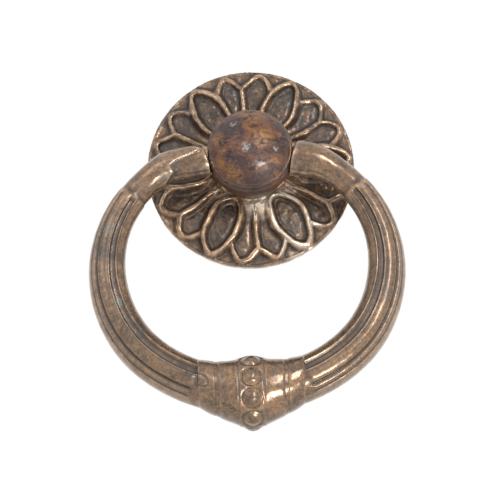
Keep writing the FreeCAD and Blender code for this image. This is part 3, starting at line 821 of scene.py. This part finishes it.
beads = {
    "count": 9, "first": 24.5, "top": 7.30, "half": 1.95, "rise": 1.2, "root": 1.0, "tall": 1.035,
    "segments": 44, "domeSteps": 18, "weld": 0.03,
    "gutter": 0.2, "gutterAway": 0.05, "gutterWidth": 0.26, "gutterLevel": 0.4,
    "casts": ((0.06, 0.5, 5.2), (0.05, 1.4, 1.2)), "fineMark": (10, 0.10),
}


def bandSwell(along, first, last, thick, thin, crown):
    # a tapered band with a crowned face and rounded edges
    share = np.clip((along - first) / (last - first), 0, 1)
    body = thick + (thin - thick) * share + crown * (1 - (2 * share - 1) ** 2)
    edge = np.minimum(along - first, last - along)
    curve = np.sqrt(np.clip(1 - (1 - np.clip(edge / foot["bandRound"], 0, 1)) ** 2, 0, 1))
    return np.where(edge > 0, body - foot["bandDrop"] * (1 - curve), 0)


def makeFoot(material):
    right = ringLine()[0]
    right = right[right[:, 4] <= foot["reach"]]
    left = right[:0:-1] * (-1, 1, -1, 1, -1)
    places = np.concatenate([left, right])
    places[:, 2:4] = 0.0, -1.0  # every section stands upright
    places[:, 1] -= foot["sag"] * (1 - (places[:, 0] / foot["reach"]) ** 2)
    along, turns = places[:, 4:5], np.arange(-180, 180, foot["turnStep"])
    away = np.abs(along)
    radius = np.interp(away, *foot["core"]) * np.ones((1, len(turns)))
    for band in foot["bands"]:
        radius = np.maximum(radius, bandSwell(away, *band))
    # raised seat, peaked at the top and bottom, with a gutter round each bead
    half = foot["seatHalf"]
    steep = np.sin(np.radians(turns))[None, :] ** 2
    flare = foot["peak"] * hill(away, foot["flare"]) * steep
    seat = foot["seat"] + flare - foot["seatDrop"] * ease(away, half - foot["seatSlope"], half) * (1 - steep)
    step = 360 / beads["count"]
    nearest = np.radians((turns + beads["first"] + step / 2) % step - step / 2)[None, :]
    gap = np.hypot(along, nearest * (foot["seat"] + beads["gutterLevel"]))
    seat = seat - beads["gutter"] * hill(gap - beads["half"] - beads["gutterAway"], beads["gutterWidth"])
    radius = np.where(away < half, np.maximum(radius - foot["coreDrop"], seat), radius + flare)
    # on the left the broad reed ends as a round tongue on the outer band
    across = np.radians(turns - tongue["turn"])[None, :] * tongue["radius"]
    rim = np.hypot(np.maximum(tongue["from"] + along, 0), across) - tongue["half"]
    groove = tongue["groove"]
    change = tongue["lift"] * (1 - ease(rim, *tongue["edge"])) - groove * hill(rim - groove, groove)
    radius = radius + (along < tongue["band"]) * change
    points, faces = [], []
    closeTube(ringGrid(places, turns, radius), points, faces)
    piece = castPiece("ringFoot", points, faces, foot["casts"], material)
    markRelief(piece, foot)
    return piece


def makeBeads(material):
    bottom = ringLine()[0][0][1] - foot["sag"]
    half, rise, top = beads["half"], beads["rise"], beads["top"]
    dome = (half ** 2 + rise ** 2) / (2 * rise)
    profile = arcPoints(dome - top, dome, 0.3, math.degrees(math.asin(half / dome)), beads["domeSteps"])
    base, root = rise - top, beads["root"]
    profile += [(half + 0.02, base + 0.15), (half - 0.2, base + root), (0.02, base + root)]
    piece = newPiece("ringBeads", *lathe(profile, beads["segments"]))
    closeMesh(piece, beads["weld"])
    centre = (ring["slide"], ring["depth"], bottom)
    repeatRound(piece, beads["count"], (1, 0, 0), centre, beads["first"], material)
    # the ring of beads is a little taller than round
    points = readVectors(piece.data, "co")
    points[:, 2] = (points[:, 2] - bottom * mm) * beads["tall"] + bottom * mm
    movePoints(piece, points)
    roughen(piece, beads["casts"])
    markRelief(piece, beads)
    return piece


# finishes: spots are x, y, z and radius

# soot is used for painted shade as well as for dark patches; umber is used only for painted shade next to the
# ball
soot, umber, verdigris = (0.058, 0.050, 0.048), (0.135, 0.080, 0.046), (0.20, 0.23, 0.21)
rosetteLook = {
    "Tone": (0.330, 0.204, 0.120), "Deep": (0.044, 0.030, 0.022), "Rubbed": (0.66, 0.47, 0.32),
    "hollow": 0.9, "wear": 0.9, "basin": 0.95, "Blotches": 0.8, "grain": 0.38, "grainDepth": 0.18,
    "wax": 0.35, "paintedHighlightColour": (0.98, 0.86, 0.72),
    # painted highlight: these spots and the near-white colour above brighten the lower right of the rosette,
    # where the light falls
    "paintedHighlightSpots": ((2.4, -3.2, -8.4, 4.6), (6.6, -3.6, -7.2, 3.6), (4.4, -3.4, -12.6, 3.6),
                 (8.4, -3.0, -16.8, 4.2), (10.6, -3.2, -12.4, 3.8)),
    "stainsAndShade": (
        # painted shade: these soot spots darken the upper half of the rosette
        (soot, ((13.5, -3.0, 9.5, 6.5), (-13.0, -3.0, 11.0, 6.0), (-2.0, -2.5, 16.5, 5.0),
                (8.5, -3.0, 15.0, 4.0), (-17.0, -2.5, 4.0, 4.0))),
    ),
}
ringLook = {
    "Tone": (0.290, 0.178, 0.103), "Deep": (0.050, 0.035, 0.026), "Rubbed": (0.62, 0.45, 0.31),
    "hollow": 0.95, "wear": 0.8, "basin": 0.5, "Blotches": 0.42, "grain": 0.16, "grainDepth": 0.12,
    "wax": 0.55, "paintedHighlightSpots": (),
    "stainsAndShade": (
        # the first three soot spots darken patches on the foot and the left tube; the last three are painted
        # shade under the arms, next to the ball
        (soot, ((-13.5, -15.0, -45.5, 4.0), (-29.5, -13.5, -20.0, 3.4), (-22.5, -14.5, -36.0, 3.0),
                (13.0, -9.5, -5.5, 3.0), (-10.4, -12.4, -4.2, 3.4), (10.2, -12.0, -4.4, 3.0))),
        # painted shade: the umber spots darken the arm ends next to the ball
        (umber, ((-10.4, -13.9, -1.6, 4.6), (-12.6, -13.6, -3.4, 3.6), (10.4, -13.6, -2.2, 4.0),
                 (-9.8, -13.4, 0.8, 3.0))),
        (verdigris, ((-17.2, -13.2, -4.6, 1.5), (-28.5, -14.0, -15.5, 1.6), (-26.8, -14.6, -31.0, 1.4))),
    ),
}
ballLook = {
    "bruise": (0.086, 0.052, 0.050), "brown": (0.200, 0.088, 0.050), "rust": (0.400, 0.196, 0.066),
    "soot": (0.030, 0.021, 0.020), "pale": (0.52, 0.49, 0.44), "rim": (0.28, 0.19, 0.13),
    "rustSpots": ((0.5, -14.6, 5.9, 4.2), (2.6, -17.0, 1.2, 3.2), (-6.0, -14.6, 1.4, 2.2),
                  (-4.0, -15.0, -6.2, 2.8)),
    "bruiseSpots": ((-0.5, -16.0, 3.6, 3.4), (0.5, -14.6, -6.6, 4.6)), "bruiseShare": 0.75,
    "paleSpots": ((-0.8, -17.9, -1.2, 1.3), (-7.9, -13.2, -2.4, 1.5), (-3.2, -16.4, 4.3, 0.9),
                  (5.0, -16.3, -1.2, 0.8)),
    "waxSpots": ((3.8, -15.2, -4.8, 3.6), (7.0, -12.6, -3.2, 3.0)), "wax": 0.9, "waxRoughness": 0.12,
    # noises as scale, detail, roughness, stretch and swirl
    "clouds": (230, 5, 0.65, (0.9, 0.9, 1.25), 0.9), "streaks": (520, 5, 0.68, (0.85, 0.9, 1.3), 1.2),
    "fine": (2100, 4, 0.6),
    "brownAt": (0.44, 0.54), "raggedAt": (0.42, 0.56, 0.1, 1.0), "rustAt": (0.57, 0.64, 0.0, 0.7),
    "streakAt": (0.46, 0.37, 0.0, 0.85), "speckAt": (0.44, 0.32, 0.0, 0.5),
    "glintAt": (0.58, 0.74, 0.0, 0.3), "rimAt": (0.35, 0.6, 0.3, 0.9), "chalkAt": (0.42, 0.58),
    "roughAt": (0.35, 0.65, 0.50, 0.34), "roughChalk": 0.25, "metalAt": (0.4, 0.7, 0.30, 0.48),
    "metalChalk": -0.4, "hollow": 0.8, "grain": 0.55, "grainDepth": 0.16,
    "heights": (0.6, 0.4),
}


def makeBallFinish():
    look = ballLook
    material, tree, shader = newFinish("bruisedPatina")
    place = placeIn(tree)
    clouds, streaks, fine = [noiseAt(place, *look[name]) for name in ("clouds", "streaks", "fine")]
    masks = {name: spotMask(place, look[name + "Spots"]) for name in ("rust", "bruise", "pale", "wax")}
    rust = times(masks["rust"], spread(streaks, *look["raggedAt"]), True)
    rust = larger(rust, spread(clouds, *look["rustAt"]))
    chalk = times(masks["pale"], spread(fine, *look["chalkAt"]), True)  # spots of dried polish
    colour = mixColours(spread(clouds, *look["brownAt"]), look["bruise"], look["brown"])
    for share, paint in (
        (times(masks["bruise"], look["bruiseShare"]), "bruise"), (rust, "rust"),
        (spread(streaks, *look["streakAt"]), "soot"), (spread(fine, *look["speckAt"]), "soot"),
        (spread(fine, *look["glintAt"]), "pale"),
        (times(readMark(tree, "hollow"), look["hollow"], True), "soot"),
        (times(readMark(tree, "wear"), spread(streaks, *look["rimAt"]), True), "rim"), (chalk, "pale"),
    ):
        colour = mixColours(share, colour, look[paint])
    height = weigh(0.0, *zip((streaks, fine), look["heights"]))
    feed(shader, {
        "Base Color": colour,
        "Roughness": weigh(spread(streaks, *look["roughAt"]), (chalk, look["roughChalk"])),
        "Metallic": weigh(spread(clouds, *look["metalAt"]), (chalk, look["metalChalk"])),
        "Coat Weight": times(masks["wax"], look["wax"]), "Coat Roughness": look["waxRoughness"],
        "Normal": grain(height, look),
    })
    return material


rosetteFinish = castMetal("rosetteBrass", rosetteLook)
ringFinish = castMetal("ringBrass", ringLook)
ballFinish = makeBallFinish()
print("finishes made")

for piece, body, node, slot in (
    (makeRosette(rosetteFinish), "base", "rosette", "aged_brass"),
    (makeBall(ballFinish), "base", "ball_post", "dark_patina"),
    (makeBow(ringFinish), "ring", "ring", "aged_brass"),
    (makeFoot(ringFinish), "ring", "ring", "aged_brass"),
    (makeBeads(ringFinish), "ring", "ring", "aged_brass"),
):
    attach(piece, body)
    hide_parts(node)
    print("piece", piece.name, len(piece.data.polygons), "faces")


# camera: in front and below, as in the photograph

view = {"below": 18.0, "roll": 2.3, "distance": 600.0, "lens": 213.1, "across": 0.18, "up": 15.99}
tilt, roll = math.radians(view["below"]), math.radians(view["roll"])
back = Vector((0, -math.cos(tilt), -math.sin(tilt)))
side, top = Vector((1, 0, 0)), Vector((0, -math.sin(tilt), math.cos(tilt)))
across = side * math.cos(roll) - top * math.sin(roll)
upward = side * math.sin(roll) + top * math.cos(roll)
cameraData = bpy.data.cameras.new("camera")
cameraData.lens, cameraData.sensor_width = view["lens"], 36.0
cameraData.clip_start, cameraData.clip_end = 0.01, 10.0
camera = bpy.data.objects.new("camera", cameraData)
eye = (back * view["distance"] - across * view["across"] - upward * view["up"]) * mm
camera.matrix_world = Matrix.Translation(eye) @ Matrix((across, upward, back)).transposed().to_4x4()
scene.collection.objects.link(camera)
scene.camera = camera


# light and surroundings

aim = Vector((0, -0.01, -0.02))
lamps = (
    # name, direction as the camera sees it, metres away, size, watts and colour
    ("lowFront", (0.40, -0.34, 0.85), 0.55, (0.19, 0.18), 3.0, (1.0, 0.97, 0.93)),
    ("lowRight", (0.62, -0.66, 0.44), 0.55, (0.12, 0.22), 1.7, (1.0, 0.96, 0.91)),
    ("stripAbove", (0.34, 0.58, 0.74), 0.60, (0.09, 0.26), 1.0, (1.0, 0.98, 0.96)),
    ("highLeft", (-0.60, 0.70, 0.60), 0.75, (0.45, 0.35), 0.6, (0.98, 0.98, 1.0)),
)


def softLight(name, towards, away, size, power, colour):
    data = bpy.data.lights.new(name, "AREA")
    data.shape, data.energy, data.color = "RECTANGLE", power, colour
    data.size, data.size_y = size
    light = bpy.data.objects.new(name, data)
    direction = (across * towards[0] + upward * towards[1] + back * towards[2]).normalized()
    light.location = aim + direction * away
    light.rotation_euler = direction.to_track_quat("Z", "Y").to_euler()
    scene.collection.objects.link(light)


def seenRays(tree):
    # 1 for what the camera, gloss and glass see, 0 for what lights the object
    path = addNode(tree, "ShaderNodeLightPath").outputs
    return larger(larger(path["Is Camera Ray"], path["Is Glossy Ray"]), path["Is Transmission Ray"])


def makeWorld():
    world = bpy.data.worlds.new("studio")
    world.use_nodes = True
    tree = world.node_tree
    tree.nodes.clear()
    shown = feed(addNode(tree, "ShaderNodeBackground"), {"Color": (1, 1, 1)})[0]
    lit = feed(addNode(tree, "ShaderNodeBackground"), {"Color": (0.92, 0.95, 1.0), "Strength": 0.36})[0]
    mixed = feed(addNode(tree, "ShaderNodeMixShader"), {0: seenRays(tree), 1: lit, 2: shown})[0]
    feed(addNode(tree, "ShaderNodeOutputWorld"), {0: mixed})
    return world


def makeFloor(half, level):
    corners = [(x * half, y * half, level) for x, y in ((-1, -1), (1, -1), (1, 1), (-1, 1))]
    floor = newPiece("studioFloor", corners, [(0, 1, 2, 3)])
    finish, tree, shader = newFinish("paleFloor")
    feed(shader, {"Base Color": (0.80, 0.79, 0.77), "Roughness": 0.8, "Emission Color": (0.52, 0.52, 0.51),
                  "Emission Strength": seenRays(tree)})
    floor.data.materials.append(finish)
    return floor


for lamp in lamps:
    softLight(*lamp)
scene.world = makeWorld()
makeFloor(half=900, level=-330)
scene.view_settings.view_transform = "Standard"
print("camera and light set")
